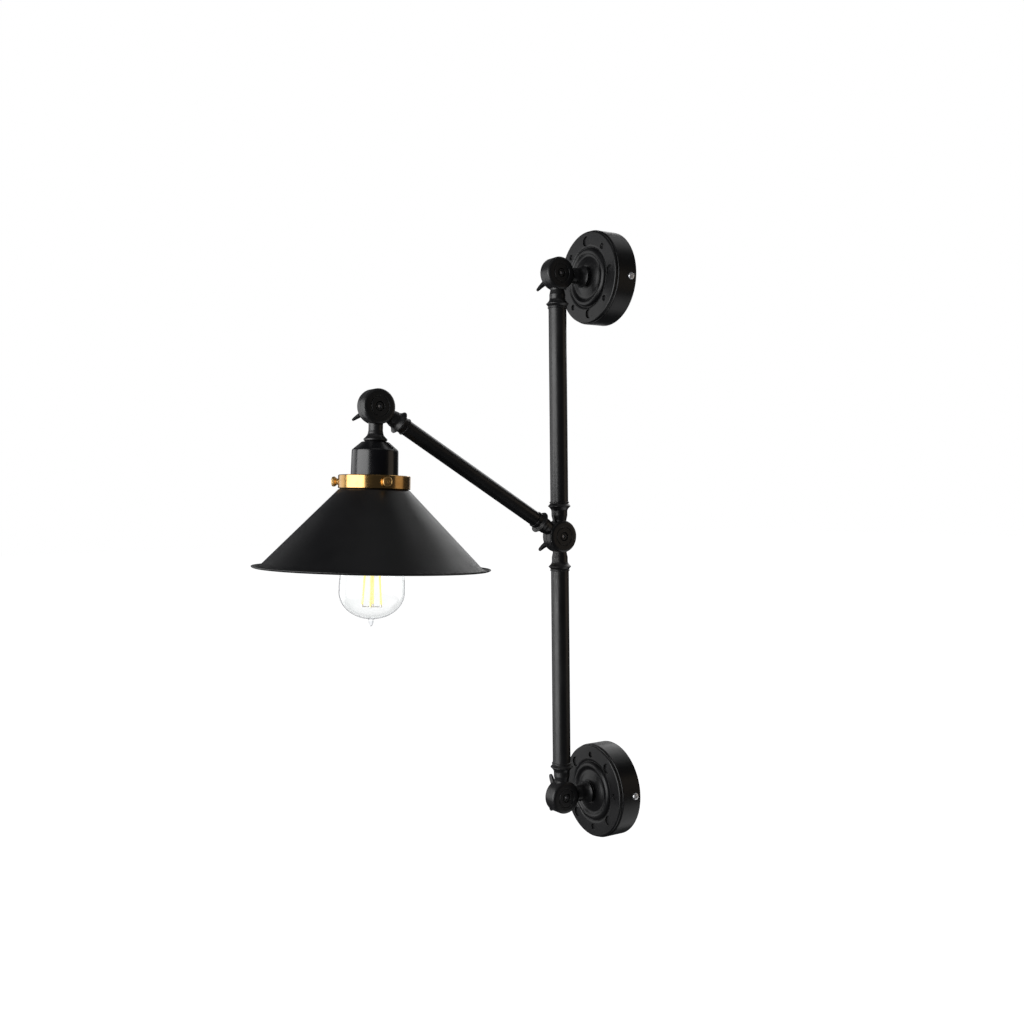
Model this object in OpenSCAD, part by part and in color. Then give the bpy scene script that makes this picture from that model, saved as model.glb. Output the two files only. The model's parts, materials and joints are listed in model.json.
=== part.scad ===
// Swing arm wall sconce with two wall canopies, a two-piece mast, a swing arm and a cone shade.
// Millimetres. The origin is on the wall at the middle of the upper canopy: +Z is up,
// -Y points out of the wall and +X lies along the pivot bolts.

/* [Overall] */
// Height from the top of the upper canopy to the bottom of the lower canopy
total_height = 635; // [560:1:760]
// Distance between the two pivot bolts of the arm
arm_length = 243; // [200:1:320]
// Angle of the arm above level
arm_elevation = 31.4; // [0:0.1:38]
// Lean of the lamp head away from the wall
head_tilt = 2.3; // [-5:0.1:15]

/* [Canopies] */
// Outside diameter of each wall canopy
canopy_d = 97; // [92:0.5:110]
// Depth of each canopy from the wall to its flat ring face
canopy_depth = 26; // [24:0.5:34]
// Thickness of the pressed sheet
sheet_t = 1.2; // [0.8:0.1:1.6]
// Distance between the two wall screws of a strap
wall_screw_spacing = 60; // [50:1:66]
// Diameter of each wall screw hole
wall_hole_d = 5.2; // [4:0.1:6]

/* [Knuckles] */
// Diameter of each round knuckle
knuckle_d = 33; // [30:0.5:36]
// Thickness of one knuckle half
half_t = 8.2; // [7.5:0.1:10]
// Diameter of each pivot bolt
bolt_d = 5.9; // [5:0.1:6.2]
// Distance from a pivot bolt to the end of its neck
neck_length = 35.5; // [34:0.5:45]
// Diameter of the wire passage
wire_d = 7; // [5:0.5:8]

/* [Tubes] */
// Outside diameter of the mast tubes
mast_tube_d = 18.4; // [17:0.1:20]
// Outside diameter of the arm tube
arm_tube_d = 15; // [14:0.1:17]
// Wall thickness of the tubes
tube_wall = 1.2; // [1:0.1:1.6]

/* [Lamp head] */
// Widest diameter of the socket cup
cup_d = 44; // [42:0.1:46]
// Outside diameter of the brass gallery ring
ring_d = 66.8; // [65:0.1:70]
// Height of the brass gallery ring
ring_h = 12.5; // [11:0.1:16]
// Diameter of the shade at its rim
shade_d = 220; // [200:1:240]
// Depth of the shade cone below the gallery ring
shade_drop = 74; // [60:1:90]
// Number of thumbscrews round the gallery ring
thumbscrew_count = 3; // [3:1:3]

/* [Bulb] */
// Widest diameter of the bulb glass
bulb_d = 61; // [55:0.5:64]
// Length of the bulb from its contact to its tip
bulb_length = 145; // [138:0.5:146]

/* [Hidden] */

$fn = 96;
eps = 0.01;            // overshoot of a cut past the face it opens
face_gap = 0.05;       // running gap between faces that turn against each other
bolt_clearance = 0.05; // radial clearance of each pivot bolt in its bore
sweep_gap = 0.35;      // clearance of a neck round the half that turns beside it

// Colours
satin_black = [0.09, 0.09, 0.10];
zinc = [0.72, 0.73, 0.74];
brass = [0.85, 0.60, 0.22];
porcelain = [0.90, 0.89, 0.85];
fibre_black = [0.05, 0.05, 0.05];
filament_yellow = [1.0, 0.82, 0.35];

// Places of the pivots, worked out from the driving dimensions
collar_h = canopy_depth + 3;
pin_standoff = collar_h + neck_length;
canopy_pitch = total_height - canopy_d;
centre_z = -canopy_pitch / 2;
lower_z = -canopy_pitch;
head_y = -pin_standoff - arm_length * cos(arm_elevation);
head_z = centre_z + arm_length * sin(arm_elevation);

// Knuckle halves
knuckle_r = knuckle_d / 2;
bore_r = bolt_d / 2 + bolt_clearance;
boss_r = 5.4;
chamber_r = 12.4;
chamber_h = 4.2;
neck_start = chamber_r + 1;
head_recess_r = 4.7;
head_recess_h = 3;
spigot_h = 11;

// Necks: radius of the neck and of its ridge, and distance of the ridge from the pivot
mast_neck_r = 8.2;
mast_ridge_r = 11.5;
mast_ridge_at = 30.7;
arm_neck_r = 7.8;
arm_ridge_r = 11.3;
inner_ridge_at = 28.4;
outer_ridge_at = 27.2;
head_neck_r = 7.1;
head_ridge_r = 11;
head_ridge_at = 29.3;
head_neck_length = 32.8;
waist_depth = 1;       // how much thinner each neck is beside its knuckle
head_waist_depth = 0.4;
cove_h = 5.2;
nipple_r = 5;
nipple_h = 11.5;
stem_nut_h = 4;
mast_tube_length = canopy_pitch / 2 - 2 * neck_length;

// Pivot washers and wing nuts
washer_t = 1.1;
washer_r = 6.6;
nut_hub_h = 7.8;
wing_tip_r = 19.4;
wing_tip_h = 12.2;
wing_root_t = 4.8;
wing_tip_t = 1;

// Canopy
side_r = canopy_d / 2;
hole_ring_r = side_r - 10.85;
big_dimple_r = 5.2;
small_dimple_r = 3;
dimple_h = 1.6;
dimple_turn = 2.8;
side_screw_h = 7;
side_screw_r = 1.85;
upper_screw_turn = -5.5;
lower_screw_turn = 2;

// Wall strap
strap_t = 2;
strap_w = 18;
strap_reach = side_r - 2.2;
tab_h = 13;
tab_w = 15;
ground_screw_x = 16;

// Lamp head stations, measured down from the head pivot along the head axis
cup_top = head_neck_length;
cup_side_top = 40.7;
cup_bottom = 64;
ring_bottom = cup_bottom + ring_h;
holder_top = 39;
holder_bottom = 77.5;
holder_cavity = 55;
shade_collar_top = cup_bottom + 2.6;
shade_collar_r = ring_d / 2 - 2;
rim_at = ring_bottom + shade_drop;
shade_t = 0.9;
thumbscrew_at = cup_bottom + ring_h / 2;
thumbscrew_azimuth = 81.5;

// Bulb stations, measured down from the head pivot
bulb_tip = holder_cavity + 3.5 + bulb_length;
bulb_r = bulb_d / 2;
bulb_top = bulb_tip - bulb_length;
cap_top = bulb_top + 4;
cap_bottom = cap_top + 23;
pip_h = 6.8;
bulb_widest = bulb_tip - 31.5;
glass_t = 0.9;
glass_neck_r = 12.6;
mount_tip = cap_bottom + 30.6;

// Filaments
filament_count = 4;
filament_turn = -57;
filament_top = cap_bottom + 36;
filament_bottom = bulb_tip - 18.5;
filament_top_r = 4.6;
filament_bottom_r = 8.8;
filament_r = 1;
wire_r = 0.45;

// ---------------------------------------------------------------- frames

// Each of these puts the origin on one pivot of the mast
module at_upper() { translate([0, -pin_standoff, 0]) children(); }
module at_centre() { translate([0, -pin_standoff, centre_z]) children(); }
module at_lower() { translate([0, -pin_standoff, lower_z]) children(); }

// Arm frame: +Z runs from the centre pivot to the head pivot
module along_arm() { at_centre() rotate([90 - arm_elevation, 0, 0]) children(); }

// Head frame: +Z runs down the head axis from the head pivot
module down_head() {
    translate([0, head_y, head_z]) rotate([180 - head_tilt, 0, 0]) children();
}

// Canopy frame: +Z points out of the wall
module on_wall(z) { translate([0, 0, z]) rotate([90, 0, 0]) children(); }

module pointing_down() { rotate([180, 0, 0]) children(); }
module pointing_to_wall() { rotate([-90, 0, 0]) children(); }

// Turns a shape made along +Z to lie along +X, or -X for side -1
module along_x(side) { rotate([0, 90 * side, 0]) children(); }

// ---------------------------------------------------------------- shared shapes

// Section of one knuckle half: x is the radius and y the distance from the mating face.
// An opening at its outer face takes the bolt head where recessed is true.
module half_section(recessed) {
    head_r = recessed ? head_recess_r : bore_r + 0.4;
    head_h = recessed ? head_recess_h : 0.4;
    polygon([
        [bore_r, 0], [boss_r, 0], [boss_r, chamber_h], [chamber_r, chamber_h],
        [chamber_r, 0], [knuckle_r - 0.2, 0], [knuckle_r, 0.2],
        [knuckle_r, half_t - 2.4], [knuckle_r - 0.3, half_t - 1.4],
        [knuckle_r - 1, half_t - 0.7], [knuckle_r - 2, half_t - 0.2], [knuckle_r - 3, half_t],
        [10, half_t], [9.7, half_t - 0.6], [8.8, half_t - 0.6], [8.5, half_t],
        [head_r, half_t],
        [recessed ? head_r : bore_r, half_t - head_h],
        [bore_r, half_t - head_h]
    ]);
}

// One knuckle half on its pivot, on the +X side for side 1 and the -X side for side -1
module knuckle_half(side) {
    along_x(side) translate([0, 0, face_gap]) rotate_extrude() half_section(side > 0);
}

// Space that the other half sweeps, so that a neck never touches it
module other_half_sweep(side) {
    along_x(-side) translate([0, 0, -face_gap])
        cylinder(r = knuckle_r + sweep_gap, h = half_t + 8);
}

// Section of a neck: a waist, a cove out to a ridge, a taper back and an end lip
module neck_section(neck_r, ridge_r, ridge_at, ridge_h, end_r, lip_r, length) {
    waist_r = neck_r - waist_depth;
    rise = ridge_r - neck_r;
    cove = [for (t = [0:0.125:1]) [neck_r + rise * t * t, ridge_at - cove_h * (1 - t)]];
    taper_end = min(ridge_at + ridge_h + 2.4, length - 1.5);
    polygon(concat(
        [[0, neck_start], [waist_r, neck_start], [waist_r, neck_start + 3.6],
         [neck_r, neck_start + 8]],
        cove,
        [[ridge_r, ridge_at + ridge_h], [end_r, taper_end], [end_r, length - 1.4],
         [lip_r, length - 1.1], [lip_r, length - 0.3], [lip_r - 0.3, length], [0, length]]
    ));
}

// Spigot that screws into a tube or a nut past the end of a neck
module spigot(spigot_r, spigot_length, length) {
    translate([0, 0, length - eps]) cylinder(r = spigot_r, h = spigot_length);
}

module wire_bore(length) {
    translate([0, 0, boss_r + 2]) cylinder(d = wire_d, h = length - boss_r);
}

// Neck of the mast's own size, without its spigot
module wide_neck() {
    rotate_extrude() neck_section(mast_neck_r, mast_ridge_r, mast_ridge_at, 0.6,
        mast_tube_d / 2 + 0.2, mast_tube_d / 2 + 0.9, neck_length);
}

module mast_neck() {
    wide_neck();
    spigot(mast_tube_d / 2 - tube_wall - 0.05, spigot_h, neck_length);
}

module arm_neck(ridge_at) {
    rotate_extrude() neck_section(arm_neck_r, arm_ridge_r, ridge_at, 0.6,
        arm_tube_d / 2 + 0.4, arm_tube_d / 2 + 1, neck_length);
    spigot(arm_tube_d / 2 - tube_wall - 0.05, spigot_h, neck_length);
}

module stem_neck() {
    wide_neck();
    spigot(nipple_r, nipple_h, neck_length);
}

// The head's neck ends in a round bead just above the socket cup
module head_neck() {
    end_r = mast_tube_d / 2;
    bead_h = head_neck_length - head_ridge_at;
    rotate_extrude() polygon(concat(
        [[0, neck_start], [head_neck_r - head_waist_depth, neck_start],
         [head_neck_r - head_waist_depth, neck_start + 9]],
        [for (t = [0:0.125:1]) [head_neck_r + (head_ridge_r - 0.8 - head_neck_r) * t * t,
            head_ridge_at - cove_h * (1 - t)]],
        [[head_ridge_r - 0.25, head_ridge_at + 0.4], [head_ridge_r, head_ridge_at + 1],
         [head_ridge_r, head_ridge_at + 1.8], [head_ridge_r - 0.4, head_ridge_at + 2.5],
         [end_r + 0.8, head_ridge_at + 2.9], [end_r, head_ridge_at + bead_h], [0, head_neck_length]]
    ));
    spigot(nipple_r, nipple_h, head_neck_length);
}

// A knuckle half with one neck along +Z. children(0) is the neck.
module knuckle_with_neck(side, length) {
    difference() {
        union() {
            knuckle_half(side);
            difference() {
                children();
                other_half_sweep(side);
            }
        }
        wire_bore(length + spigot_h + 2);
    }
}

module tube(outer_d, length) {
    difference() {
        cylinder(d = outer_d, h = length);
        translate([0, 0, -1]) cylinder(d = outer_d - 2 * tube_wall, h = length + 2);
    }
}

module hex_nut(across_flats, height, hole_r) {
    difference() {
        rotate(30) cylinder(r = across_flats / 2 / cos(30), h = height, $fn = 6);
        translate([0, 0, -1]) cylinder(r = hole_r, h = height + 2);
    }
}

// Pivot bolt: its round head sits in the recess of the +X half, its end stands out of the nut
module pivot_bolt() {
    under_head = face_gap + half_t - head_recess_h;
    shank_end = 17.6;
    head_h = 2.6;
    along_x(1) difference() {
        union() {
            translate([0, 0, -shank_end])
                cylinder(d = bolt_d, h = shank_end + under_head + eps);
            translate([0, 0, -shank_end - 0.5])
                cylinder(d1 = bolt_d - 1, d2 = bolt_d, h = 0.5);
            translate([0, 0, under_head]) rotate_extrude() polygon([
                [0, 0], [head_recess_r - 0.3, 0], [head_recess_r - 0.3, head_h - 0.9],
                [head_recess_r - 1.2, head_h], [0, head_h]
            ]);
        }
        translate([0, 0, under_head + head_h - 1.5])
            cylinder(d = 3.9, h = 2, $fn = 6);
    }
}

// Flat washer between a -X half and its wing nut
module knuckle_washer() {
    along_x(-1) translate([0, 0, face_gap + half_t]) difference() {
        cylinder(r = washer_r, h = washer_t);
        translate([0, 0, -1]) cylinder(r = bore_r + 0.15, h = washer_t + 2);
    }
}

// Side of one wing: x is the radius from the bolt axis and y the height off the nut's seat
module wing_outline() {
    tip_r = 2.2;
    outer = [for (a = [-60:20:100]) [wing_tip_r - tip_r + tip_r * cos(a),
        wing_tip_h - tip_r + tip_r * sin(a)]];
    polygon(concat(
        [[bore_r + 1, 0.9], [7.6, 1.2], [10, 2.2], [12, 3.4], [13.8, 4.7], [15.2, 6.1]],
        outer,
        [[13.6, 10.6], [12, 9.4], [10.6, 8.4], [9, 7.6], [7.6, 7.2], [bore_r + 1, 7.2]]
    ));
}

// A wing seen along the bolt: thick at the hub and thin at its tip
module wing_plan() {
    polygon([
        [bore_r + 1, -wing_root_t / 2], [6.5, -wing_root_t / 2], [12, -wing_root_t / 2 + 0.6],
        [wing_tip_r + 1, -wing_tip_t / 2], [wing_tip_r + 1, wing_tip_t / 2],
        [12, wing_root_t / 2 - 0.6], [6.5, wing_root_t / 2], [bore_r + 1, wing_root_t / 2]
    ]);
}

// Wing nut on the -X side, with its wings at the given angle below the outward direction
module wing_nut(below_outward) {
    seat = face_gap + half_t + washer_t + face_gap;
    rotate([below_outward, 0, 0]) along_x(-1) translate([0, 0, seat]) difference() {
        union() {
            rotate_extrude() polygon([
                [0, 0], [5.9, 0], [5.9, 0.8], [5.1, nut_hub_h - 0.8], [4.5, nut_hub_h],
                [0, nut_hub_h]
            ]);
            for (turn = [90, 270]) rotate(turn) intersection() {
                rotate([90, 0, 0]) translate([0, 0, -wing_root_t]) linear_extrude(2 * wing_root_t)
                    wing_outline();
                linear_extrude(wing_tip_h + 1) wing_plan();
            }
        }
        translate([0, 0, -1]) cylinder(r = bore_r, h = nut_hub_h + 2);
    }
}

// ---------------------------------------------------------------- canopies

// Outer face of the canopy from the shoulder to the stem hole: a flat ring, a step,
// a raised round band, a valley and a dome that meets the stem
function canopy_face() = [
    [33.4, canopy_depth], [32.4, canopy_depth - 0.15], [31.6, canopy_depth - 0.5],
    [31, canopy_depth - 1], [30.5, canopy_depth - 1], [30.1, canopy_depth + 0.1],
    [29.4, canopy_depth + 1.1], [28.4, canopy_depth + 1.9], [27.2, canopy_depth + 2.35],
    [26, canopy_depth + 2.35], [24.8, canopy_depth + 1.9], [23.6, canopy_depth + 1.1],
    [22.6, canopy_depth + 0.5], [21.4, canopy_depth + 0.4], [19.8, canopy_depth + 0.9],
    [18, canopy_depth + 1.6], [16, canopy_depth + 2.25], [14.2, canopy_depth + 2.7],
    [12.4, canopy_depth + 3], [nipple_r + 0.2, collar_h]
];

// Rim of the canopy: a straight side, a small groove and the rolled edge of the face
module canopy_section() {
    face = canopy_face();
    count = len(face);
    polygon(concat(
        [[side_r, 0], [side_r, canopy_depth - 4.3], [side_r - 0.2, canopy_depth - 3.8],
         [side_r - 0.6, canopy_depth - 3.5], [side_r - 1.2, canopy_depth - 3.3],
         [side_r - 1.3, canopy_depth - 2.7], [side_r - 1, canopy_depth - 2],
         [side_r - 0.95, canopy_depth - 1.4], [side_r - 1.15, canopy_depth - 0.8],
         [side_r - 1.6, canopy_depth - 0.3], [side_r - 2.3, canopy_depth]],
        face,
        [for (i = [count - 1:-1:0]) [face[i][0], face[i][1] - sheet_t]],
        [[side_r - 3, canopy_depth - sheet_t], [side_r - 2.5, canopy_depth - 1.8],
         [side_r - 2.5, canopy_depth - 4.3], [side_r - sheet_t, canopy_depth - 5.4],
         [side_r - sheet_t, 0]]
    ));
}

// Side screw on its own axis: +Z points outward through the rim
module at_side_screw(side, screw_turn) {
    rotate(screw_turn) translate([0, 0, side_screw_h]) rotate([0, 90 * side, 0]) children();
}

// Places the eight dimples. The bigger and the smaller ones alternate.
module dimples(pattern_turn, extra_r, from_h, height) {
    for (i = [0:7]) {
        dimple_r = i % 2 == 0 ? big_dimple_r : small_dimple_r;
        rotate(dimple_turn + pattern_turn + 45 * i) translate([hole_ring_r, 0, from_h])
            cylinder(r = dimple_r + extra_r, h = height);
    }
}

module canopy(z, pattern_turn, screw_turn) {
    dimple_floor = canopy_depth - dimple_h;
    color(satin_black) on_wall(z) difference() {
        union() {
            rotate_extrude() canopy_section();
            dimples(pattern_turn, 0.9, dimple_floor - sheet_t, dimple_h + sheet_t - 0.3);
        }
        dimples(pattern_turn, 0, dimple_floor, dimple_h + 1);
        for (side = [-1, 1]) at_side_screw(side, screw_turn)
            translate([0, 0, side_r - 4]) cylinder(r = side_screw_r + 0.25, h = 6);
    }
}

// Strap behind the canopy: a flat bar with two bent tabs that take the side screws
module wall_strap(z, screw_turn) {
    color(zinc) on_wall(z) difference() {
        union() {
            translate([-strap_reach, -strap_w / 2, 0])
                cube([2 * strap_reach, strap_w, strap_t]);
            for (side = [-1, 1]) translate([side * (strap_reach - strap_t / 2), 0, tab_h / 2])
                cube([strap_t, tab_w, tab_h], center = true);
        }
        for (side = [-1, 1]) {
            translate([side * wall_screw_spacing / 2, 0, -1])
                cylinder(d = wall_hole_d, h = strap_t + 2);
            at_side_screw(side, screw_turn) translate([0, 0, strap_reach - strap_t - 1])
                cylinder(r = side_screw_r + 0.05, h = strap_t + 2.4);
        }
        translate([0, 0, -1]) cylinder(r = 6.5, h = strap_t + 2);
        translate([ground_screw_x, 0, -1]) cylinder(r = 1.9, h = strap_t + 2);
    }
}

module side_screws(z, screw_turn) {
    color(zinc) on_wall(z) for (side = [-1, 1])
        at_side_screw(side, screw_turn) {
            translate([0, 0, side_r - 9]) cylinder(r = side_screw_r, h = 9.2);
            translate([0, 0, side_r]) difference() {
                rotate_extrude() polygon([
                    [0, 0], [3.5, 0], [3.5, 0.9], [3.1, 1.7], [2.2, 2.2], [0, 2.4]
                ]);
                for (turn = [0, 90]) rotate(turn + 20) translate([-1.8, -0.35, 1.3])
                    cube([3.6, 0.7, 2]);
            }
        }
}

module stem_knuckle(z) {
    color(satin_black) translate([0, -pin_standoff, z]) pointing_to_wall()
        knuckle_with_neck(-1, neck_length) stem_neck();
}

module stem_nut(z) {
    color(zinc) on_wall(z) translate([0, 0, collar_h - sheet_t - stem_nut_h])
        hex_nut(15, stem_nut_h, nipple_r + 0.05);
}

module upper_canopy() { canopy(0, 0, upper_screw_turn); }
module upper_wall_strap() { wall_strap(0, upper_screw_turn); }
module upper_side_screws() { side_screws(0, upper_screw_turn); }
module upper_stem_knuckle() { stem_knuckle(0); }
module upper_stem_nut() { stem_nut(0); }
module upper_knuckle_washer() { color(zinc) at_upper() knuckle_washer(); }

module upper_ground_screw() {
    color("green") on_wall(0) translate([ground_screw_x, 0, strap_t]) {
        rotate_extrude() polygon([[0, 0], [3.4, 0], [3.4, 1], [2.4, 2], [0, 2.2]]);
        translate([0, 0, -strap_t]) cylinder(r = 1.85, h = strap_t + eps);
    }
}

module lower_canopy() { canopy(lower_z, 45, lower_screw_turn); }
module lower_wall_strap() { wall_strap(lower_z, lower_screw_turn); }
module lower_side_screws() { side_screws(lower_z, lower_screw_turn); }
module lower_stem_knuckle() { stem_knuckle(lower_z); }
module lower_stem_nut() { stem_nut(lower_z); }
module lower_knuckle_washer() { color(zinc) at_lower() knuckle_washer(); }

// ---------------------------------------------------------------- mast

module upper_mast_knuckle() {
    color(satin_black) at_upper() pointing_down()
        knuckle_with_neck(1, neck_length) mast_neck();
}

module upper_mast_tube() {
    color(satin_black) translate([0, -pin_standoff, centre_z + neck_length])
        tube(mast_tube_d, mast_tube_length);
}

// The mast passes through the +X half of the centre knuckle, so this half has two necks
module centre_knuckle() {
    color(satin_black) at_centre() difference() {
        union() {
            knuckle_half(1);
            difference() {
                union() {
                    mast_neck();
                    pointing_down() mast_neck();
                }
                other_half_sweep(1);
            }
        }
        wire_bore(neck_length + spigot_h + 2);
        pointing_down() wire_bore(neck_length + spigot_h + 2);
    }
}

module lower_mast_tube() {
    color(satin_black) translate([0, -pin_standoff, lower_z + neck_length])
        tube(mast_tube_d, mast_tube_length);
}

module lower_mast_knuckle() {
    color(satin_black) at_lower() knuckle_with_neck(1, neck_length) mast_neck();
}

module upper_pivot_bolt() { color(zinc) at_upper() pivot_bolt(); }
module centre_pivot_bolt() { color(zinc) at_centre() pivot_bolt(); }
module lower_pivot_bolt() { color(zinc) at_lower() pivot_bolt(); }

// ---------------------------------------------------------------- arm

module arm_inner_knuckle() {
    color(satin_black) along_arm()
        knuckle_with_neck(-1, neck_length) arm_neck(inner_ridge_at);
}

module arm_tube() {
    color(satin_black) along_arm() translate([0, 0, neck_length])
        tube(arm_tube_d, arm_length - 2 * neck_length);
}

module arm_outer_knuckle() {
    color(satin_black) along_arm() translate([0, 0, arm_length]) pointing_down()
        knuckle_with_neck(1, neck_length) arm_neck(outer_ridge_at);
}

module centre_knuckle_washer() { color(zinc) at_centre() knuckle_washer(); }

module head_pivot_bolt() {
    color(zinc) translate([0, head_y, head_z]) pivot_bolt();
}

// ---------------------------------------------------------------- wing nuts

module upper_wing_nut() { color(satin_black) at_upper() wing_nut(54); }
module centre_wing_nut() { color(satin_black) at_centre() wing_nut(52); }
module lower_wing_nut() { color(satin_black) at_lower() wing_nut(90); }
module head_wing_nut() {
    color(satin_black) translate([0, head_y, head_z]) wing_nut(39);
}

// ---------------------------------------------------------------- lamp head

module head_knuckle() {
    color(satin_black) down_head() knuckle_with_neck(-1, head_neck_length) head_neck();
}

module head_knuckle_washer() {
    color(zinc) translate([0, head_y, head_z]) knuckle_washer();
}

module socket_cup() {
    cup_r = cup_d / 2;
    color(satin_black) down_head() rotate_extrude() polygon([
        [nipple_r + 0.2, cup_top], [12, cup_top], [12.9, cup_top + 0.3],
        [cup_r - 1.3, cup_side_top - 0.9], [cup_r - 0.6, cup_side_top],
        [cup_r - 0.4, cup_side_top + 1.2], [cup_r, cup_bottom],
        [cup_r - sheet_t, cup_bottom], [cup_r - sheet_t - 0.4, cup_side_top + 1.4],
        [cup_r - sheet_t - 1.3, cup_side_top + 0.1], [12.4, cup_top + sheet_t],
        [nipple_r + 0.2, cup_top + sheet_t]
    ]);
}

module cup_nut() {
    color(zinc) down_head() translate([0, 0, cup_top + sheet_t])
        hex_nut(14, holder_top - cup_top - sheet_t - 1, nipple_r + 0.05);
}

// Lamp holder body: open below for the bulb cap, with a threaded skirt for its ring
module lamp_holder() {
    body_r = 16.6;
    skirt_r = 17.4;
    cavity_r = 14.2;
    color(porcelain) down_head() rotate_extrude() polygon([
        [nipple_r + 0.05, holder_top], [body_r - 1.5, holder_top], [body_r, holder_top + 1.5],
        [body_r, cup_bottom - 3], [skirt_r, cup_bottom - 2.5], [skirt_r, holder_bottom - 4],
        [body_r, holder_bottom - 3.4], [body_r, holder_bottom - 0.6],
        [body_r - 0.6, holder_bottom], [cavity_r, holder_bottom],
        [cavity_r, holder_cavity], [2.4, holder_cavity], [2.4, holder_cavity - 4],
        [nipple_r + 0.05, holder_cavity - 4]
    ]);
}

module holder_shell() {
    color(brass) down_head() translate([0, 0, holder_cavity + 1.5]) difference() {
        cylinder(r = 14.15, h = 20);
        translate([0, 0, -1]) cylinder(r = 13.6, h = 22);
    }
}

module holder_contact() {
    color(brass) down_head() {
        translate([0, 0, holder_cavity]) cylinder(r = 5.5, h = 0.8);
        translate([0, 0, holder_cavity + 0.8 - eps]) cylinder(r1 = 3, r2 = 2, h = 2.4);
    }
}

module holder_ring() {
    color(porcelain) down_head() translate([0, 0, cup_bottom + 1.4]) difference() {
        cylinder(r = 21.5, h = 5);
        translate([0, 0, -1]) cylinder(r = 17.45, h = 7);
    }
}

module gallery_ring() {
    outer_r = ring_d / 2;
    wall = 1.5;
    color(brass) down_head() difference() {
        rotate_extrude() polygon([
            [17.6, cup_bottom], [outer_r - 0.6, cup_bottom], [outer_r, cup_bottom + 0.6],
            [outer_r, ring_bottom - 0.6], [outer_r - 0.5, ring_bottom],
            [outer_r - wall, ring_bottom], [outer_r - wall, cup_bottom + 1.4],
            [17.6, cup_bottom + 1.4]
        ]);
        for (i = [0:thumbscrew_count - 1]) thumbscrew_place(i)
            translate([0, 0, outer_r - 4]) cylinder(r = 2.05, h = 6);
    }
}

// Place of a thumbscrew: +Z points outward through the ring
module thumbscrew_place(index) {
    azimuth = thumbscrew_azimuth + 120 * index;
    translate([0, 0, thumbscrew_at]) rotate(90 - azimuth) rotate([0, 90, 0]) children();
}

module thumbscrew(index) {
    outer_r = ring_d / 2;
    color(brass) down_head() thumbscrew_place(index) {
        translate([0, 0, shade_collar_r + 0.05])
            cylinder(r = 1.95, h = outer_r - shade_collar_r + 0.5);
        translate([0, 0, outer_r + 0.3]) rotate_extrude() polygon([
            [0, 0], [2.9, 0], [2.9, 1.1], [3.4, 2.1], [4.6, 3.6], [4.7, 5.4], [4.2, 6.1],
            [3.2, 6.1], [2.9, 5.7], [0, 5.7]
        ]);
    }
}

// Spun shade: a collar inside the gallery ring, a straight cone and a turned-out rim
module shade() {
    rim_r = shade_d / 2;
    neck_r = ring_d / 2 - 0.4;
    cone_r = rim_r - 8.5;
    outer = [
        [shade_collar_r, shade_collar_top], [shade_collar_r, ring_bottom - 0.4],
        [shade_collar_r + 0.6, ring_bottom + 0.4], [neck_r, ring_bottom + 0.9],
        [cone_r, rim_at - 2.9], [cone_r + 0.8, rim_at - 2.1], [cone_r + 1.7, rim_at - 1.4],
        [cone_r + 2.7, rim_at - 0.9], [cone_r + 3.8, rim_at - 0.65], [cone_r + 5, rim_at - 0.65],
        [cone_r + 6.2, rim_at - 0.95], [cone_r + 7.3, rim_at - 1.45], [rim_r - 0.3, rim_at - 1.9],
        [rim_r, rim_at - 1.5]
    ];
    inner = [
        [rim_r, rim_at - 1], [rim_r - 0.6, rim_at - 0.5], [cone_r + 6.2, rim_at + 0.2],
        [cone_r + 3.6, rim_at + 0.3], [cone_r + 1, rim_at - 0.6],
        [cone_r - 0.8, rim_at - 2.1], [neck_r - 0.9, ring_bottom + 1.9],
        [shade_collar_r - shade_t, ring_bottom + 0.5], [shade_collar_r - shade_t, shade_collar_top]
    ];
    color(satin_black) down_head() rotate_extrude($fn = 160) polygon(concat(outer, inner));
}

// ---------------------------------------------------------------- bulb

// Radius of the glass at a station: a long flare down to the widest circle, then a round end
function glass_flare_r(u) = glass_neck_r + (bulb_r - glass_neck_r) * sin(90 * u);
function glass_outline(t) = concat(
    [for (u = [0.02:0.07:1]) [glass_flare_r(u) - t,
        cap_bottom + (bulb_widest - cap_bottom) * u]],
    [for (a = [0:7.5:82.5]) [(bulb_r - t) * cos(a),
        bulb_widest + (bulb_tip - pip_h - t - bulb_widest) * sin(a)]]
);

module bulb_glass() {
    outer = glass_outline(0);
    inner = glass_outline(glass_t);
    inner_count = len(inner);
    pip = [[2.9, bulb_tip - pip_h + 0.4], [2.4, bulb_tip - 4.6], [1.9, bulb_tip - 2.4],
        [1.1, bulb_tip - 0.6], [0, bulb_tip]];
    color("white", 0.3) down_head() rotate_extrude() polygon(concat(
        [[12.2, cap_top + 4], [12.2, cap_bottom + 0.1]],
        outer,
        pip,
        [[0, bulb_tip - pip_h - glass_t]],
        [for (i = [inner_count - 1:-1:0]) inner[i]],
        [[11.3, cap_bottom], [11.3, cap_top + 4]]
    ));
}

module bulb_cap() {
    color(zinc) down_head() rotate_extrude() polygon([
        [9, cap_top], [12.6, cap_top], [13.1, cap_top + 0.8], [13.1, cap_bottom],
        [12.3, cap_bottom], [12.3, cap_top + 1.4], [9, cap_top + 1.4]
    ]);
}

module bulb_insulator() {
    color(fibre_black) down_head() rotate_extrude() polygon([
        [0, bulb_top + 1.5], [4.6, bulb_top + 1.5], [5.2, bulb_top + 1.7],
        [11.6, cap_top - 0.2], [11.6, cap_top], [0, cap_top]
    ]);
}

module bulb_contact() {
    color(zinc) down_head() translate([0, 0, bulb_top])
        cylinder(r1 = 3.4, r2 = 4.4, h = 1.5);
}

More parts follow.
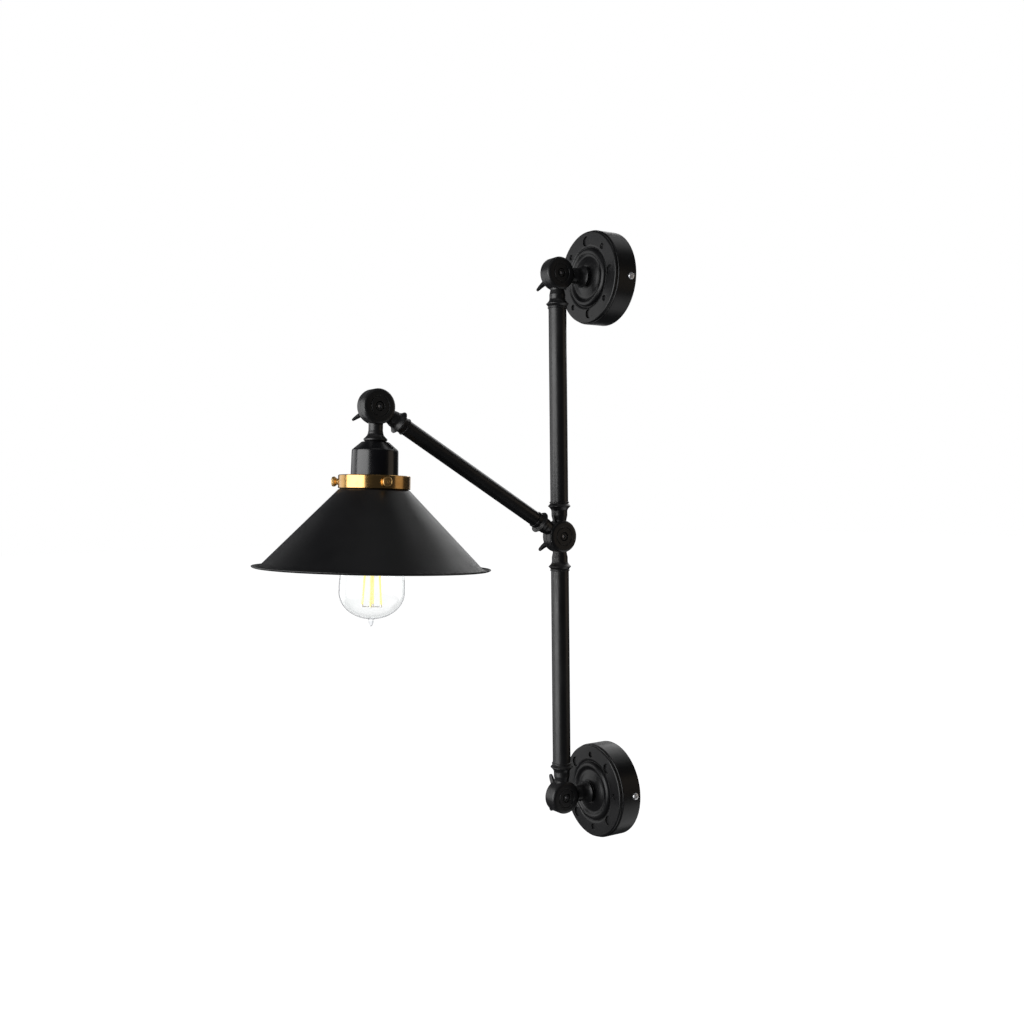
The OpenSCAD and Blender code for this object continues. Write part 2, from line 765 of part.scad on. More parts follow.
// Glass mount that carries the wires: a flare at the cap, a tube and a pinch
module bulb_mount() {
    color("white", 0.4) down_head() rotate_extrude() polygon([
        [0, cap_top + 2.6], [11.2, cap_top + 2.6], [11.2, cap_top + 4], [5.5, cap_top + 12],
        [3.6, cap_bottom + 6], [2.6, cap_bottom + 26], [1.4, cap_bottom + 30],
        [0.8, mount_tip], [0, mount_tip]
    ]);
}

// One filament leans out from the top of the mount to its lower end
module filament(index) {
    lean = atan((filament_bottom_r - filament_top_r) / (filament_bottom - filament_top));
    span = sqrt(pow(filament_bottom - filament_top, 2)
        + pow(filament_bottom_r - filament_top_r, 2));
    rotate(filament_turn + 360 / filament_count * index) translate([filament_top_r, 0, filament_top])
        rotate([0, lean, 0]) cylinder(r = filament_r, h = span, $fn = 24);
}

module bulb_filaments() {
    color(filament_yellow) down_head()
        for (i = [0:filament_count - 1]) filament(i);
}

// Centre rod with an upper and a lower wire cross that hold the filament ends
module bulb_wires() {
    color(zinc) down_head() {
        translate([0, 0, mount_tip])
            cylinder(r = wire_r, h = filament_bottom + 1.4 - mount_tip, $fn = 24);
        for (i = [0:filament_count - 1]) rotate(filament_turn + 360 / filament_count * i) {
            translate([0, 0, filament_top - 0.5]) rotate([0, 90, 0])
                cylinder(r = wire_r, h = filament_top_r, $fn = 24);
            translate([0, 0, filament_bottom + 0.5]) rotate([0, 90, 0])
                cylinder(r = wire_r, h = filament_bottom_r, $fn = 24);
        }
    }
}

upper_canopy();
upper_wall_strap();
upper_side_screws();
upper_stem_knuckle();
upper_stem_nut();
upper_knuckle_washer();
upper_ground_screw();
lower_canopy();
lower_wall_strap();
lower_side_screws();
lower_stem_knuckle();
lower_stem_nut();
lower_knuckle_washer();
upper_mast_knuckle();
upper_mast_tube();
centre_knuckle();
lower_mast_tube();
lower_mast_knuckle();
upper_pivot_bolt();
centre_pivot_bolt();
lower_pivot_bolt();
arm_inner_knuckle();
arm_tube();
arm_outer_knuckle();
centre_knuckle_washer();
head_pivot_bolt();
upper_wing_nut();
centre_wing_nut();
lower_wing_nut();
head_wing_nut();
head_knuckle();
head_knuckle_washer();
socket_cup();
cup_nut();
lamp_holder();
holder_shell();
holder_contact();
holder_ring();
gallery_ring();
shade();
thumbscrew(0);  // thumbscrew_1
thumbscrew(1);  // thumbscrew_2
thumbscrew(2);  // thumbscrew_3
bulb_glass();
bulb_cap();
bulb_insulator();
bulb_contact();
bulb_mount();
bulb_wires();
bulb_filaments();
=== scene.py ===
"""Looks of the swing arm wall sconce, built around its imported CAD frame.

Blender works in metres. The profiles of the turned pieces are lists of (radius, station)
points in millimetres, where the station runs along the piece's own axis.
"""

import json
import math

import bmesh
import bpy
from mathutils import Matrix, Vector


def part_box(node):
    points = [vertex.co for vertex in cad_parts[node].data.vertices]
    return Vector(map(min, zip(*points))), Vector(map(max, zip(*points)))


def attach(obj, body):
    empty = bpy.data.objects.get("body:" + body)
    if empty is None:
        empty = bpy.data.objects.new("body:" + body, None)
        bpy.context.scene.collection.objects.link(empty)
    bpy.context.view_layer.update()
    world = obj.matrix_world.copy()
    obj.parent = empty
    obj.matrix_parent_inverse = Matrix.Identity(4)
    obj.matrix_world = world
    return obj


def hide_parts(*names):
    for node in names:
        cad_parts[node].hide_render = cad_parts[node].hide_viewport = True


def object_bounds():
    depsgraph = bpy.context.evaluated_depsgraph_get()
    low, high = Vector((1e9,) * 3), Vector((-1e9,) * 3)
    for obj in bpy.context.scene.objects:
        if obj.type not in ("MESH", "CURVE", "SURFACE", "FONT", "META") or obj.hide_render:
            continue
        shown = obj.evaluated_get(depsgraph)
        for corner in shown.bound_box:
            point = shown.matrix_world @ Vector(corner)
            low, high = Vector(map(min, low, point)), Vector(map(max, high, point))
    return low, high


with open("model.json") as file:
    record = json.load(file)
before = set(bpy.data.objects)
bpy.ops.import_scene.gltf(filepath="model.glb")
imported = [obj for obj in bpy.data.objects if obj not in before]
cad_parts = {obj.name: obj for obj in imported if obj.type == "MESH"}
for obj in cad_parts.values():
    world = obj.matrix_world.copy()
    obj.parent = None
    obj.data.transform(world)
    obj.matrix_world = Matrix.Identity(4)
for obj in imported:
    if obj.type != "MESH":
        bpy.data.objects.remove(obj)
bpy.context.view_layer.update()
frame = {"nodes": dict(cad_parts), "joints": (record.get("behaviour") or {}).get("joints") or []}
nodes = frame["nodes"]
joints = {joint["name"]: joint for joint in frame["joints"]}

MM = 0.001
X = Vector((1, 0, 0))
Z = Vector((0, 0, 1))
HEAD = Vector(joints["head_tilt"]["pos_m"])
HEAD_DOWN = -Vector(joints["bulb_turn"]["axis"])

# ---------------------------------------------------------------- camera

CAMERA_AZIMUTH = math.radians(56.73)
CAMERA_ELEVATION = math.radians(1.13)
CAMERA_ROLL = math.radians(-0.58)
CAMERA_PLACE = Vector((946.4, -743.7, -220.6)) * MM
CAMERA_LENS = 39.80
CAMERA_SENSOR = 36
CAMERA_CLIP = 0.01


def turned_back(azimuth, elevation):
    """Unit vector from the object towards a viewer at that azimuth and elevation."""
    return Vector((
        math.sin(azimuth) * math.cos(elevation),
        -math.cos(azimuth) * math.cos(elevation),
        math.sin(elevation),
    ))


def make_camera():
    """Camera at the photographed viewpoint; a negative roll leans its top to the right."""
    data = bpy.data.cameras.new("camera")
    data.lens = CAMERA_LENS
    data.sensor_width = CAMERA_SENSOR
    data.clip_start = CAMERA_CLIP
    camera = bpy.data.objects.new("camera", data)
    bpy.context.collection.objects.link(camera)
    back = turned_back(CAMERA_AZIMUTH, CAMERA_ELEVATION)
    right = Vector((math.cos(CAMERA_AZIMUTH), math.sin(CAMERA_AZIMUTH), 0))
    up = back.cross(right)
    c, s = math.cos(CAMERA_ROLL), math.sin(CAMERA_ROLL)
    side = right * c + up * s
    top = up * c - right * s
    turn = Matrix((side, top, back)).transposed().to_4x4()
    camera.matrix_world = Matrix.Translation(CAMERA_PLACE) @ turn
    bpy.context.scene.camera = camera


make_camera()

# ---------------------------------------------------------------- node helpers


MIX_FACTOR, MIX_A, MIX_B, MIX_RESULT = 0, 6, 7, 2


def new_material(name):
    """A material, its node tree and its shader."""
    mat = bpy.data.materials.new(name)
    mat.use_nodes = True
    tree = mat.node_tree
    return mat, tree, tree.nodes["Principled BSDF"]


def add(tree, kind, **properties):
    """A new node with its properties set by name."""
    node = tree.nodes.new(kind)
    for key, value in properties.items():
        setattr(node, key, value)
    return node


def noise(tree, vector, scale, detail, roughness=0.5):
    """Noise of 0 to 1, most of it between 0.3 and 0.7. The scale is in waves per metre."""
    node = add(tree, "ShaderNodeTexNoise")
    node.inputs["Scale"].default_value = scale
    node.inputs["Detail"].default_value = detail
    node.inputs["Roughness"].default_value = roughness
    tree.links.new(vector, node.inputs["Vector"])
    return node.outputs["Fac"]


def remap(tree, value, low, high, from_low=0.3, from_high=0.7):
    """Moves a value from one range to another; the usual first range is that of a noise."""
    node = add(tree, "ShaderNodeMapRange")
    node.inputs["From Min"].default_value = from_low
    node.inputs["From Max"].default_value = from_high
    node.inputs["To Min"].default_value = low
    node.inputs["To Max"].default_value = high
    tree.links.new(value, node.inputs["Value"])
    return node.outputs["Result"]


def mix_colour(tree, fac, a, b):
    """Mixes two colours, each a tuple or another node's output."""
    node = add(tree, "ShaderNodeMix", data_type="RGBA")
    tree.links.new(fac, node.inputs[MIX_FACTOR])
    for socket, value in ((node.inputs[MIX_A], a), (node.inputs[MIX_B], b)):
        if isinstance(value, tuple):
            socket.default_value = (*value, 1)
        else:
            tree.links.new(value, socket)
    return node.outputs[MIX_RESULT]


def math_node(tree, operation, a, b):
    """Arithmetic on an output and on a number or another output."""
    node = add(tree, "ShaderNodeMath", operation=operation)
    tree.links.new(a, node.inputs[0])
    if isinstance(b, float):
        node.inputs[1].default_value = b
    else:
        tree.links.new(b, node.inputs[1])
    return node.outputs[0]


def bump(tree, height, distance, strength, normal=None):
    """A normal that follows a height of 0 to 1, given its depth in metres."""
    node = add(tree, "ShaderNodeBump")
    node.inputs["Strength"].default_value = strength
    node.inputs["Distance"].default_value = distance
    tree.links.new(height, node.inputs["Height"])
    if normal is not None:
        tree.links.new(normal, node.inputs["Normal"])
    return node.outputs["Normal"]


def rounded_normal(tree, radius):
    """A normal that rounds sharp edges to a radius."""
    node = add(tree, "ShaderNodeBevel", samples=6)
    node.inputs["Radius"].default_value = radius
    return node.outputs["Normal"]


def object_place(tree):
    """The point on the piece, which moves with the piece."""
    return add(tree, "ShaderNodeTexCoord").outputs["Object"]


def place_along(tree, place, axis):
    """Distance of a point along an axis through the origin."""
    node = add(tree, "ShaderNodeVectorMath", operation="DOT_PRODUCT")
    node.inputs[1].default_value = axis
    tree.links.new(place, node.inputs[0])
    return node.outputs["Value"]


def edge_mask(tree, normal):
    """1 where the rounded normal has left the real one, so on edges, and 0 on flat faces."""
    edge_dot, flat_dot = 0.93, 0.995
    geometry = add(tree, "ShaderNodeNewGeometry")
    dot = add(tree, "ShaderNodeVectorMath", operation="DOT_PRODUCT")
    tree.links.new(geometry.outputs["Normal"], dot.inputs[0])
    tree.links.new(normal, dot.inputs[1])
    return remap(tree, dot.outputs["Value"], 1.0, 0.0, edge_dot, flat_dot)


# ---------------------------------------------------------------- materials


COAT_ROUGHNESS = 0.12
GLAZE_ROUGHNESS = 0.08
PIP_H = 6.8


def turned_lines(tree, place, axis, per_metre):
    """Fine lines that a turning tool leaves round an axis, as a value of 0 to 1."""
    node = add(tree, "ShaderNodeTexNoise", noise_dimensions="1D")
    node.inputs["Scale"].default_value = per_metre
    node.inputs["Detail"].default_value = 3
    tree.links.new(place_along(tree, place, axis), node.inputs["W"])
    return node.outputs["Fac"]


def powder_coat(name, colour, dusty, rough, peel, coat=0.0, ior=1.5, turned=None):
    """Satin powder coat: fine orange peel, cloudy sheen, and paler edges that are thin worn coat and
    painted highlight.
    """
    wear_and_highlight_colour = (0.10, 0.10, 0.105)
    edge_r = 0.5 * MM
    peel_depth = 0.05 * MM * peel
    line_depth = 0.06 * MM
    cloud_scale, wear_and_highlight_scale, swell_scale, peel_scale, grain_scale = 28, 160, 190, 620, 900
    swell_share = 1.6
    lines_per_metre = 420

    mat, tree, shader = new_material(name)
    place = object_place(tree)
    soft = rounded_normal(tree, edge_r)
    cloud = noise(tree, place, cloud_scale, 4)
    grain = noise(tree, place, grain_scale, 4, 0.6)
    coat_colour = mix_colour(tree, remap(tree, cloud, 0.0, 1.0), colour, dusty)
    # Paler patches on the edges: partly thin, worn coat and partly a painted highlight along the edges.
    wear_and_highlight_patches = remap(tree, noise(tree, place, wear_and_highlight_scale, 4), 0.0, 0.5, 0.45, 0.7)
    worn_and_highlit_edges = math_node(tree, "MULTIPLY", edge_mask(tree, soft), wear_and_highlight_patches)
    tree.links.new(mix_colour(tree, worn_and_highlit_edges, coat_colour, wear_and_highlight_colour), shader.inputs["Base Color"])
    cloudy_rough = remap(tree, cloud, rough - 0.04, rough + 0.05)
    grainy_rough = remap(tree, grain, -0.03, 0.03)
    tree.links.new(math_node(tree, "ADD", cloudy_rough, grainy_rough), shader.inputs["Roughness"])
    shader.inputs["IOR"].default_value = ior
    shader.inputs["Coat Weight"].default_value = coat
    shader.inputs["Coat Roughness"].default_value = COAT_ROUGHNESS
    swell = math_node(tree, "MULTIPLY", noise(tree, place, swell_scale, 2), swell_share)
    peel_height = math_node(tree, "ADD", noise(tree, place, peel_scale, 3, 0.55), swell)
    normal = bump(tree, peel_height, peel_depth, 0.55, soft)
    if turned is not None:
        lines = turned_lines(tree, place, turned, lines_per_metre)
        normal = bump(tree, lines, line_depth, 0.35, normal)
    tree.links.new(normal, shader.inputs["Normal"])
    return mat


def plated(name, colour, tint, rough, scale=260, tarnish=None):
    """Plated or polished metal with cloudy tint, fine polishing marks and tarnish."""
    edge_r = 0.25 * MM
    mark_depth = 0.01 * MM
    cloud_scale, mark_scale, smear_scale = scale * 0.3, scale * 5, scale * 6

    mat, tree, shader = new_material(name)
    place = object_place(tree)
    soft = rounded_normal(tree, edge_r)
    cloud = noise(tree, place, cloud_scale, 4)
    metal = mix_colour(tree, remap(tree, cloud, 0.0, 1.0), colour, tint)
    if tarnish:
        spots = remap(tree, noise(tree, place, scale, 6, 0.65), 0.0, 0.55, 0.52, 0.72)
        metal = mix_colour(tree, spots, metal, tarnish)
    tree.links.new(metal, shader.inputs["Base Color"])
    shader.inputs["Metallic"].default_value = 1.0
    cloudy_rough = remap(tree, cloud, rough - 0.03, rough + 0.06)
    smeared_rough = remap(tree, noise(tree, place, smear_scale, 3), -0.03, 0.04)
    tree.links.new(math_node(tree, "ADD", cloudy_rough, smeared_rough), shader.inputs["Roughness"])
    normal = bump(tree, noise(tree, place, mark_scale, 4, 0.6), mark_depth, 0.4, soft)
    tree.links.new(normal, shader.inputs["Normal"])
    return mat


def glazed(name, colour, tint, rough, coat):
    """Porcelain or opaque glass under a smooth glaze."""
    cloud_scale, ripple_scale = 60, 480
    ripple_depth = 0.01 * MM

    mat, tree, shader = new_material(name)
    place = object_place(tree)
    cloud = noise(tree, place, cloud_scale, 4)
    body_colour = mix_colour(tree, remap(tree, cloud, 0.0, 1.0), colour, tint)
    tree.links.new(body_colour, shader.inputs["Base Color"])
    tree.links.new(remap(tree, cloud, rough - 0.03, rough + 0.05), shader.inputs["Roughness"])
    shader.inputs["Coat Weight"].default_value = coat
    shader.inputs["Coat Roughness"].default_value = GLAZE_ROUGHNESS
    ripples = noise(tree, place, ripple_scale, 3)
    tree.links.new(bump(tree, ripples, ripple_depth, 0.5), shader.inputs["Normal"])
    return mat


def glass(name, tint, pip_start):
    """Clear glass with a painted grey shade where it is seen edge-on, and a painted grey shade on the pip
    past pip_start.
    """
    edge_on_shade_colour = (0.40, 0.41, 0.43)
    pip_shade_colour = (0.42, 0.43, 0.45)
    pip_fade = 1.9 * MM
    wave_scale, haze_scale = 45, 200
    wave_depth = 0.15 * MM
    edge_power = 5.0

    mat, tree, shader = new_material(name)
    place = object_place(tree)
    shader.inputs["Transmission Weight"].default_value = 1.0
    shader.inputs["IOR"].default_value = 1.26
    waves = noise(tree, place, wave_scale, 2)
    clear = mix_colour(tree, remap(tree, waves, 0.0, 1.0), (1, 1, 1), tint)
    weight = add(tree, "ShaderNodeLayerWeight")
    weight.inputs["Blend"].default_value = 0.5
    grazing = math_node(tree, "POWER", weight.outputs["Facing"], edge_power)
    # Painted shade: the glass is painted grey where it is seen edge-on.
    edge_shaded = mix_colour(tree, remap(tree, grazing, 0.0, 0.9, 0.0, 1.0), clear, edge_on_shade_colour)
    # Painted shade: the pip past pip_start is painted grey.
    along = place_along(tree, place, HEAD_DOWN)
    pip = remap(tree, along, 0.0, 0.75, pip_start, pip_start + pip_fade)
    tree.links.new(mix_colour(tree, pip, edge_shaded, pip_shade_colour), shader.inputs["Base Color"])
    haze = noise(tree, place, haze_scale, 3)
    tree.links.new(remap(tree, haze, 0.0, 0.02), shader.inputs["Roughness"])
    tree.links.new(bump(tree, waves, wave_depth, 0.25), shader.inputs["Normal"])
    return mat


def phosphor(name):
    """Grainy yellow coating of the lit filaments."""
    grain_scale = 900
    grain_depth = 0.05 * MM
    glow = 0.62

    mat, tree, shader = new_material(name)
    place = object_place(tree)
    grain = noise(tree, place, grain_scale, 3)
    colour = mix_colour(tree, remap(tree, grain, 0.0, 1.0), (0.95, 0.74, 0.22), (1.0, 0.84, 0.34))
    tree.links.new(colour, shader.inputs["Base Color"])
    tree.links.new(colour, shader.inputs["Emission Color"])
    shader.inputs["Emission Strength"].default_value = glow
    tree.links.new(remap(tree, grain, 0.35, 0.55), shader.inputs["Roughness"])
    tree.links.new(bump(tree, grain, grain_depth, 0.5), shader.inputs["Normal"])
    return mat


def pip_start_along_head():
    """Where the bulb's pip starts, as a distance along the head axis through the origin."""
    tip = max(v.co.dot(HEAD_DOWN) for v in nodes["bulb_glass"].data.vertices)
    return tip - PIP_H * MM


LOOKS = {
    "satin_black": powder_coat("satin_black", (0.0045, 0.0045, 0.005), (0.008, 0.008, 0.0085), 0.38, 0.4),
    "canopy_black": powder_coat("canopy_black", (0.0035, 0.0035, 0.004), (0.006, 0.006, 0.0065), 0.34, 0.4,
                                ior=1.37),
    "shade_black": powder_coat("shade_black", (0.003, 0.003, 0.0035), (0.005, 0.005, 0.0055), 0.40, 0.4,
                               turned=HEAD_DOWN),
    "cup_black": powder_coat("cup_black", (0.002, 0.002, 0.003), (0.004, 0.004, 0.005), 0.24, 0.05,
                             coat=0.15, ior=1.45),
    "zinc_steel": plated("zinc_steel", (0.90, 0.91, 0.92), (0.82, 0.83, 0.85), 0.42),
    "green_screw": plated("green_screw", (0.05, 0.34, 0.12), (0.08, 0.42, 0.16), 0.35),
    "brass": plated("brass", (0.56, 0.345, 0.13), (0.50, 0.29, 0.095), 0.17,
                    scale=120, tarnish=(0.42, 0.23, 0.07)),
    "turned_brass": plated("turned_brass", (0.62, 0.40, 0.16), (0.56, 0.34, 0.12), 0.46, scale=120),
    "contact_brass": plated("contact_brass", (0.80, 0.58, 0.28), (0.70, 0.50, 0.22), 0.32),
    "porcelain": glazed("porcelain", (0.83, 0.81, 0.76), (0.78, 0.75, 0.68), 0.22, 0.5),
    "clear_glass": glass("clear_glass", (0.97, 0.985, 0.98), pip_start_along_head()),
    "nickel": plated("nickel", (0.70, 0.68, 0.64), (0.60, 0.58, 0.54), 0.22),
    "black_glass": glazed("black_glass", (0.01, 0.01, 0.012), (0.02, 0.02, 0.024), 0.10, 0.6),
    "filament": phosphor("filament"),
}

# ---------------------------------------------------------------- turned pieces


def placed(origin, outward):
    """Frame in millimetres at origin, whose own Z points along outward."""
    z = Vector(outward).normalized()
    nearly_along_x = abs(z.x) >= 0.9
    y = Z.cross(z).normalized() if nearly_along_x else z.cross(X).normalized()
    x = y.cross(z)
    turn = Matrix((x, y, z)).transposed().to_4x4()
    return Matrix.Translation(Vector(origin)) @ turn @ Matrix.Scale(MM, 4)


def curve_value(a, b, c, d, t):
    """Catmull-Rom value at share t of the way from b to c, with the neighbours a and d."""
    return 0.5 * (2 * b + (c - a) * t + (2 * a - 5 * b + 4 * c - d) * t ** 2
                  + (3 * b - a - 3 * c + d) * t ** 3)


def smooth_path(points, steps=4):
    """Smooth curve through profile points; a point given twice stays a sharp corner."""
    out = []
    for i in range(len(points) - 1):
        a, b = points[max(i - 1, 0)], points[i]
        c, d = points[i + 1], points[min(i + 2, len(points) - 1)]
        if b == c:
            continue
        for k in range(steps):
            out.append(tuple(curve_value(*ends, k / steps) for ends in zip(a, b, c, d)))
    out.append(points[-1])
    return out


def between(a, b, t):
    """Point at share t of the way from a to b."""
    return a[0] + (b[0] - a[0]) * t, a[1] + (b[1] - a[1]) * t


def spin(name, profile, place, segments=96, ripple=None, closed=True, sharp=35):
    """Turns a profile about the Z of the frame called place. A ripple shapes the radius."""
    verts, faces, rings = [], [], []
    for r, z in profile:
        ring = []
        for k in range(segments if r > 0 else 1):
            angle = 2 * math.pi * k / segments
            radius = ripple(r, z, angle) if ripple else r
            ring.append(len(verts))
            verts.append(place @ Vector((radius * math.cos(angle), radius * math.sin(angle), z)))
        rings.append(ring)
    pairs = list(zip(rings, rings[1:]))
    if closed:
        pairs.append((rings[-1], rings[0]))
    for low, high in pairs:
        if len(low) == 1 and len(high) == 1:
            continue
        for k in range(segments):
            n = (k + 1) % segments
            if len(low) == 1:
                faces.append((low[0], high[n], high[k]))
            elif len(high) == 1:
                faces.append((low[k], low[n], high[0]))
            else:
                faces.append((low[k], low[n], high[n], high[k]))
    mesh = bpy.data.meshes.new(name)
    mesh.from_pydata(verts, [], faces)
    solid = bmesh.new()
    solid.from_mesh(mesh)
    bmesh.ops.recalc_face_normals(solid, faces=solid.faces)
    solid.to_mesh(mesh)
    solid.free()
    mesh.shade_smooth()
    mesh.set_sharp_from_angle(angle=math.radians(sharp))
    piece = bpy.data.objects.new(name, mesh)
    bpy.context.collection.objects.link(piece)
    return piece


def joined(name, pieces):
    """One piece made of several."""
    bpy.ops.object.select_all(action="DESELECT")
    for piece in pieces:
        piece.select_set(True)
    bpy.context.view_layer.objects.active = pieces[0]
    bpy.ops.object.join()
    pieces[0].name = name
    return pieces[0]


def finished(piece, body, look, *replaced):
    """Gives a piece its finish, its body and the CAD nodes it stands for."""
    piece.data.materials.clear()
    piece.data.materials.append(LOOKS[look])
    if replaced:
        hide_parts(*replaced)
    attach(piece, body)


HEAD_FRAME = placed(HEAD, HEAD_DOWN)
# How far a replacement stays inside the radius of its CAD node, in millimetres.
INSIDE = 0.02
THREAD_PITCH = 3.6


def stations(node):
    """Lowest and highest place of a CAD node along the head axis, in millimetres from the pivot."""
    values = [(v.co - HEAD).dot(HEAD_DOWN) / MM for v in nodes[node].data.vertices]
    return min(values), max(values)


def widest(node):
    """Largest radius of a CAD node about the head axis, in millimetres."""
    best = 0
    for v in nodes[node].data.vertices:
        off = v.co - HEAD
        best = max(best, (off - HEAD_DOWN * off.dot(HEAD_DOWN)).length / MM)
    return best


def make_shade():
    """Spun shade with a soft rolled rim and fine turning lines."""
    collar_r = 31.4
    neck_r = 33.0
    sheet_t = 0.9
    ring_h = 12.5
    ring_over_collar = 2.6
    rim_w = 8.5
    top, lowest = stations("shade")
    rim_at = lowest - 0.3
    rim_r = widest("shade") - INSIDE
    neck = top + ring_h - ring_over_collar
    cone_r = rim_r - rim_w

    outside = [(collar_r, top), (collar_r, neck - 0.4)]
    outside += smooth_path([(collar_r + 0.1, neck + 0.1), (collar_r + 0.7, neck + 0.6), (neck_r, neck + 1)])
    rim = smooth_path([
        (cone_r - 0.6, rim_at - 3.4), (cone_r, rim_at - 2.85), (cone_r + 1.6, rim_at - 1.4),
        (cone_r + 3.8, rim_at - 0.68), (cone_r + 5.9, rim_at - 0.85), (cone_r + 7.4, rim_at - 1.5),
        (rim_r - 0.4, rim_at - 1.85), (rim_r, rim_at - 1.35), (rim_r - 0.4, rim_at - 0.7),
        (rim_r - 1.6, rim_at - 0.1), (cone_r + 5.6, rim_at + 0.2), (cone_r + 3.6, rim_at + 0.25),
        (cone_r + 1, rim_at - 0.6), (cone_r - 0.8, rim_at - 2.1)])
    inside = smooth_path([
        (neck_r - sheet_t, neck + 1.9), (collar_r - 0.3, neck + 1.3), (collar_r - sheet_t, neck + 0.5)])
    inside.append((collar_r - sheet_t, top))
    # Extra rings close to both ends of the cone keep its shading straight.
    shares = (0.01, 0.04, 0.5, 0.96, 0.99)
    cone = [between(outside[-1], rim[0], t) for t in shares]
    back_cone = [between(rim[-1], inside[0], t) for t in shares]
    piece = spin("shade_spun", outside + cone + rim + back_cone + inside, HEAD_FRAME, 192)
    finished(piece, "head", "shade_black", "shade")


def make_bulb_glass():
    """Blown glass: a neck in the cap, a long flare, a round end and a drawn pip."""
    glass_t = 0.85
    in_cap_r = 12.2
    neck_r = 12.6
    widest_above_tip = 31.5
    flare_steps, dome_steps, dome_turn = 49, 37, 84
    top, tip = stations("bulb_glass")
    bulb_r = widest("bulb_glass") - INSIDE
    seat = stations("bulb_cap")[1]
    wide = tip - widest_above_tip
    end = tip - PIP_H

    def flare(thick):
        """Outline from the cap to the pip, set in by a thickness."""
        points = []
        for i in range(1, flare_steps):
            u = i / flare_steps
            r = neck_r + (bulb_r - neck_r) * math.sin(math.pi / 2 * u) - thick
            points.append((r, seat + (wide - seat) * u))
        for i in range(dome_steps):
            a = math.radians(dome_turn * i / dome_steps)
            points.append(((bulb_r - thick) * math.cos(a), wide + (end - thick - wide) * math.sin(a)))
        return points

    pip = smooth_path([
        (3.0, end + 0.02), (2.75, end + 0.5), (2.45, tip - 4.8), (2.1, tip - 3.2), (1.6, tip - 1.7),
        (1.0, tip - 0.6), (0.4, tip - 0.1)])
    outside = [(in_cap_r, top + 0.1), (in_cap_r, seat + 0.1)] + flare(0) + pip + [(0, tip)]
    in_cap = [(in_cap_r - glass_t, seat), (in_cap_r - glass_t, top + 0.1)]
    inside = [(0, end - 0.9)] + flare(glass_t)[::-1] + in_cap
    piece = spin("bulb_glass_blown", outside + inside, HEAD_FRAME, 112, sharp=50)
    finished(piece, "bulb", "clear_glass", "bulb_glass")


def make_bulb_cap():
    """Rolled screw cap: its thread is pressed into the sheet."""
    cap_r = 13.05
    groove_depth = 0.45
    plain_top, plain_end, fade_h = 1.6, 3.2, 1.5
    steps = 60
    top, end = stations("bulb_cap")

    def ripple(r, z, angle):
        """Thread that fades out towards both plain ends."""
        from_top = min(1, max(0, (z - top - plain_top) / fade_h))
        from_end = min(1, max(0, (end - plain_end - z) / fade_h))
        wave = 0.5 - 0.5 * math.cos(2 * math.pi * (z - top) / THREAD_PITCH - angle)
        return r - groove_depth * from_top * from_end * wave

    profile = [(9, top + 0.05), (12.5, top + 0.05), (12.9, top + 0.5)]
    profile += [(cap_r, top + 1 + (end - top - 1) * i / steps) for i in range(steps + 1)]
    profile += [(12.35, end), (12.3, top + 1.4), (9, top + 1.4)]
    finished(spin("bulb_cap_rolled", profile, HEAD_FRAME, 96, ripple), "bulb", "nickel", "bulb_cap")


def make_holder_shell():
    """Threaded brass shell that takes the cap."""
    shell_r = 13.95
    half_sheet = 0.18
    wave_depth = 0.18
    steps = 64
    top, end = stations("holder_shell")

    def wall(offset):
        """One face of the sheet."""
        return [(shell_r + offset, top + (end - top) * i / steps) for i in range(steps + 1)]

    def ripple(r, z, angle):
        """Rolled thread."""
        return r - wave_depth * (1 - math.cos(2 * math.pi * (z - top) / THREAD_PITCH - angle))

    profile = wall(half_sheet) + wall(-half_sheet)[::-1]
    piece = spin("holder_shell_threaded", profile, HEAD_FRAME, 96, ripple)
    finished(piece, "head", "contact_brass", "holder_shell")


def make_thumbscrew(index):
    """Thumbscrew with a threaded shank, a milled edge and rings turned into its face."""
    head_h = 6.12
    shank_r, root_r = 1.9, 1.72
    turn_pitch, root_after_crest = 0.45, 0.22
    teeth, tooth_depth = 26, 0.22
    milled_from, milled_to, milled_r = 3.6, 5.5, 4.2
    name = f"thumbscrew_{index}"
    axis = Vector(joints[f"screw_{index}_turn"]["axis"])
    origin = Vector(joints[f"screw_{index}_turn"]["pos_m"])
    places = [(v.co - origin).dot(axis) / MM for v in nodes[name].data.vertices]
    inner, face = min(places), max(places)
    base = face - head_h

    def milled(r, z, angle):
        """Teeth round the widest part of the head."""
        if base + milled_from < z < base + milled_to and r > milled_r:
            return r - tooth_depth * (0.5 + 0.5 * math.cos(teeth * angle))
        return r

    shank = [(0, inner + 0.02), (1.5, inner + 0.02), (shank_r, inner + 0.5)]
    z = inner + 0.8
    while z < base - 0.3:
        shank += [(shank_r, z), (root_r, z + root_after_crest)]
        z += turn_pitch
    stem = [(2.0, -0.1), (2.85, 0), (2.85, 1.1), (2.95, 1.6), (3.35, 2.1), (4.0, 2.9), (4.5, 3.5)]
    edge = [(4.65, 3.8), (4.65, 4.5), (4.65, 5.3), (4.5, 5.75), (4.2, 6.08)]
    outer_groove = [(3.6, 6.08), (3.4, 5.95), (3.1, 5.3), (2.7, 5.3), (2.5, 5.85)]
    inner_groove = [(1.7, 5.95), (1.5, 5.4), (1.1, 5.4), (0.95, 5.9), (0, 6.0)]
    head = [(r, base + h) for r, h in stem + edge + outer_groove + inner_groove]
    place = placed(origin, axis)
    piece = spin(f"{name}_milled", shank + head, place, 156, milled, closed=False, sharp=45)
    finished(piece, f"screw_{index}", "turned_brass", name)


